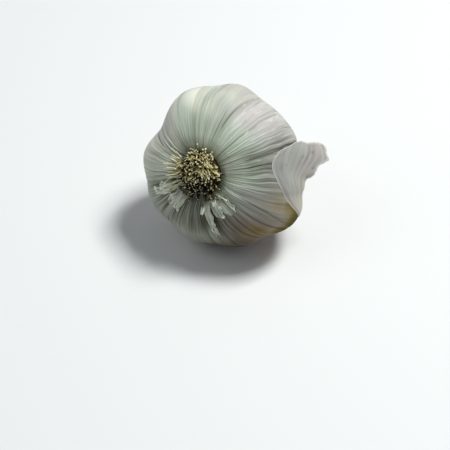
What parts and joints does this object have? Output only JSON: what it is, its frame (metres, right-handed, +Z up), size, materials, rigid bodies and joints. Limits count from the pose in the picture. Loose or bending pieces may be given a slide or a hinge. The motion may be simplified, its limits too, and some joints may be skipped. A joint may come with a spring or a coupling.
{
  "type": "garlic bulb",
  "caption": "Whole garlic bulb lying on its side, with ridged papery skin over soft clove lobes, a disc of trimmed roots, a cut neck and a torn flap of outer skin",
  "frame": {"origin": "the middle of the flat spot under the belly that the bulb rests on, at the height of the surface it lies on", "axes": "+Z is up from the surface; the root end faces -Y and points up a little, the neck lies behind at +Y; +X is the flank with the torn flap"},
  "size_m": [0.0664, 0.0671, 0.058],
  "materials": {
    "wrapper_skin": "papery, satin, finely veined",
    "dry_roots": "dry, fibrous, matt",
    "torn_skin": "papery, torn edges",
    "lilac_skin": "papery, thin, veined"
  },
  "bodies": {
    "root": {"bulb": "wrapper_skin", "root_tuft": "dry_roots", "skin_collar": "torn_skin", "skin_flap": "lilac_skin"}
  },
  "joints": []
}
